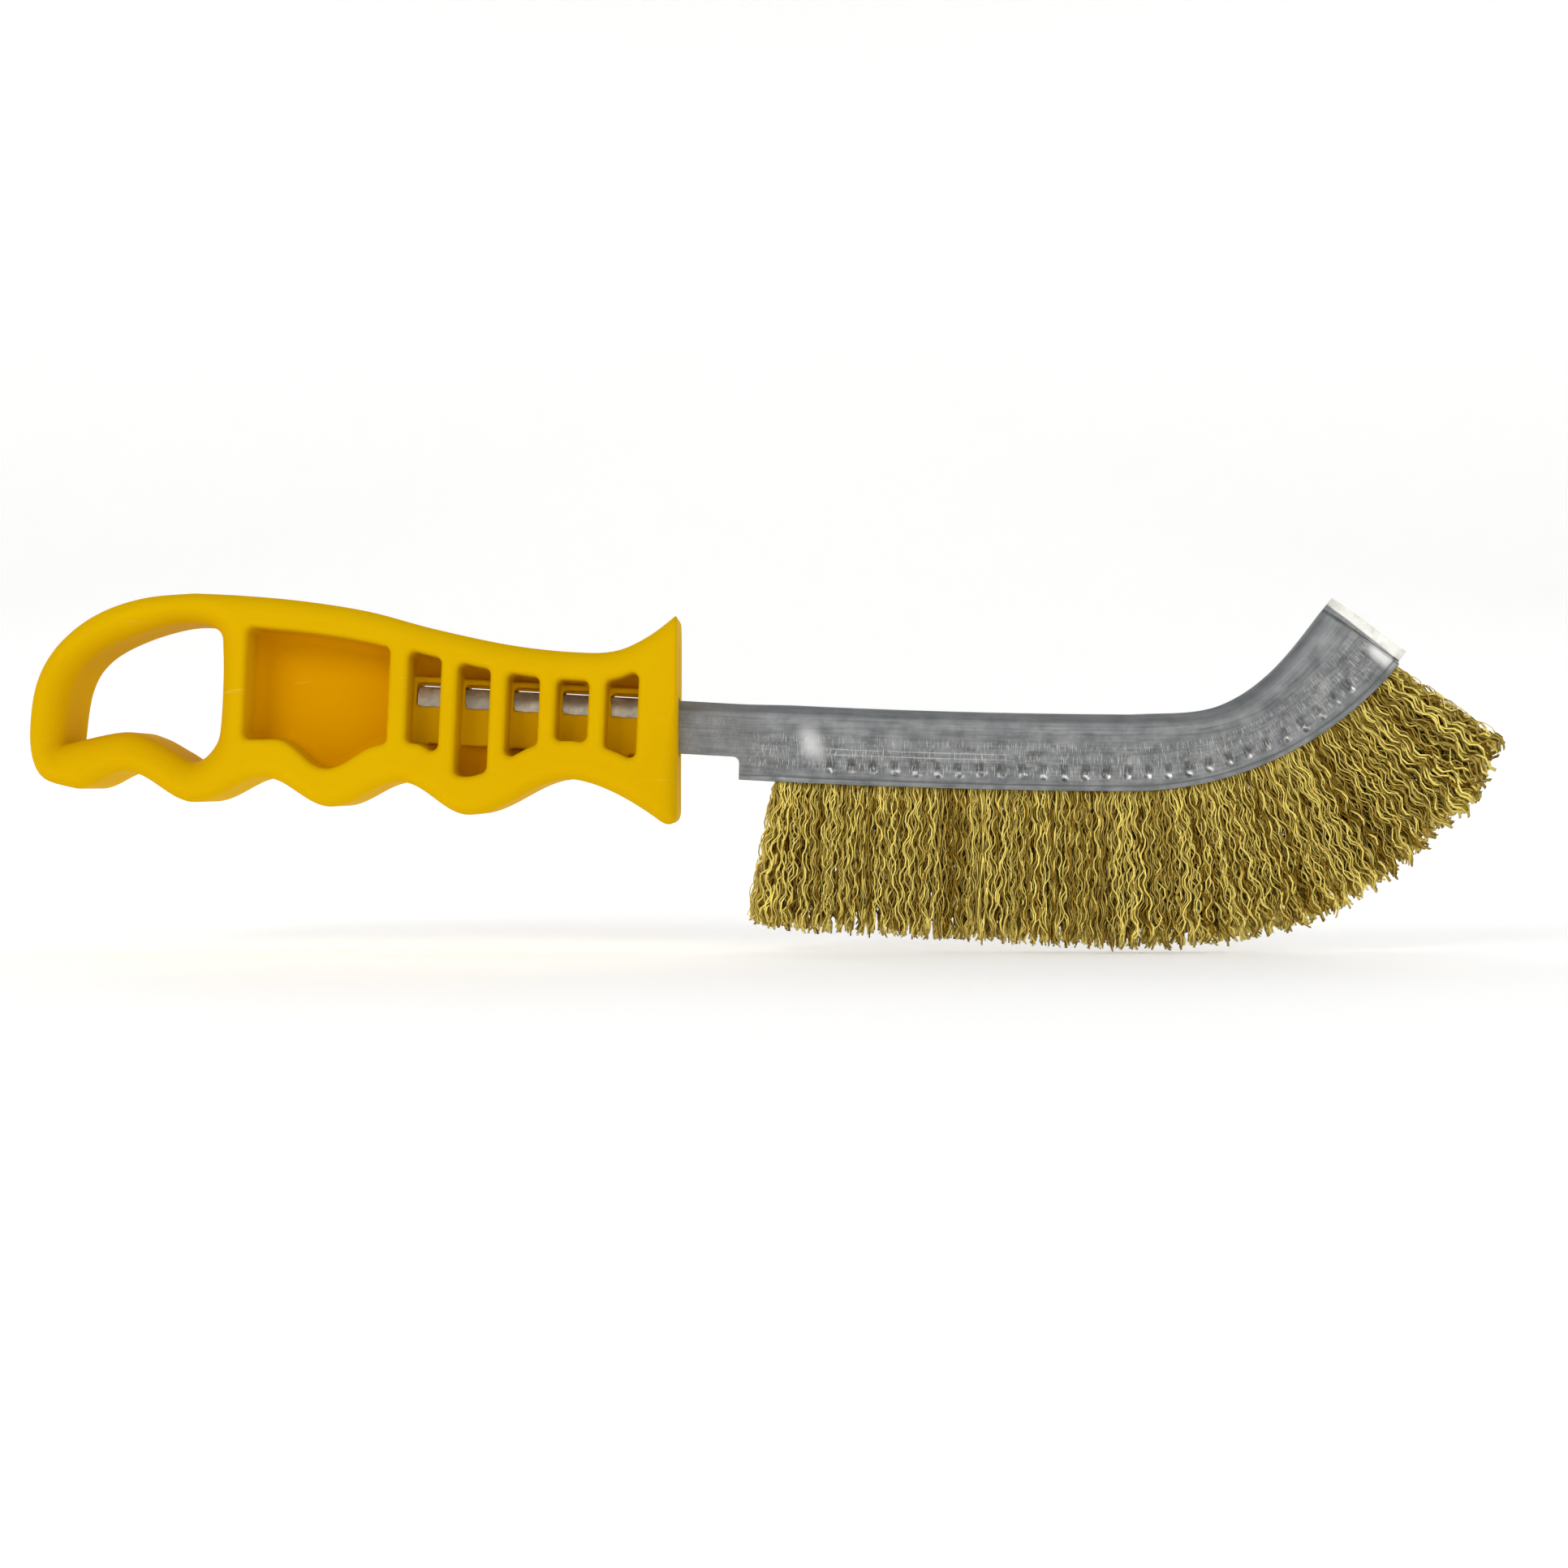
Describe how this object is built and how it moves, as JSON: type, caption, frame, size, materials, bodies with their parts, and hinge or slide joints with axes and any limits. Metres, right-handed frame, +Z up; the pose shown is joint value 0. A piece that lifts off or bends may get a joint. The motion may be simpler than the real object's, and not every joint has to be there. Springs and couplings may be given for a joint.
{
  "type": "wire brush",
  "caption": "Hand wire brush: moulded plastic handle with hang loop and finger grips, folded steel strip with a hooked end, one row of crimped brass-plated wire.",
  "frame": {"origin": "on the surface that the wire tips stand on, under the middle of the brush's bounding box", "axes": "+X along the brush from the hang loop to the hooked end, +Y across its thickness, +Z up from the wire tips to the strip's spine"},
  "size_m": [0.2626, 0.02, 0.064],
  "materials": {
    "handle_plastic": "smooth moulded polypropylene, semi-gloss",
    "strip_steel": "galvanised sheet, scratched and dull",
    "core_steel": "drawn steel wire",
    "wire_brass": "brass-plated crimped steel wire"
  },
  "bodies": {
    "root": {"handle": "handle_plastic", "brush_strip": "strip_steel", "core_wire": "core_steel", "wire_bundle_01": "wire_brass", "wire_bundle_02": "wire_brass", "wire_bundle_03": "wire_brass", "wire_bundle_04": "wire_brass", "wire_bundle_05": "wire_brass", "wire_bundle_06": "wire_brass", "wire_bundle_07": "wire_brass", "wire_bundle_08": "wire_brass", "wire_bundle_09": "wire_brass", "wire_bundle_10": "wire_brass", "wire_bundle_11": "wire_brass", "wire_bundle_12": "wire_brass", "wire_bundle_13": "wire_brass", "wire_bundle_14": "wire_brass", "wire_bundle_15": "wire_brass", "wire_bundle_16": "wire_brass", "wire_bundle_17": "wire_brass", "wire_bundle_18": "wire_brass", "wire_bundle_19": "wire_brass", "wire_bundle_20": "wire_brass", "wire_bundle_21": "wire_brass", "wire_bundle_22": "wire_brass", "wire_bundle_23": "wire_brass", "wire_bundle_24": "wire_brass", "wire_bundle_25": "wire_brass", "wire_bundle_26": "wire_brass", "wire_bundle_27": "wire_brass", "wire_bundle_28": "wire_brass", "wire_bundle_29": "wire_brass", "wire_bundle_30": "wire_brass"}
  },
  "joints": []
}
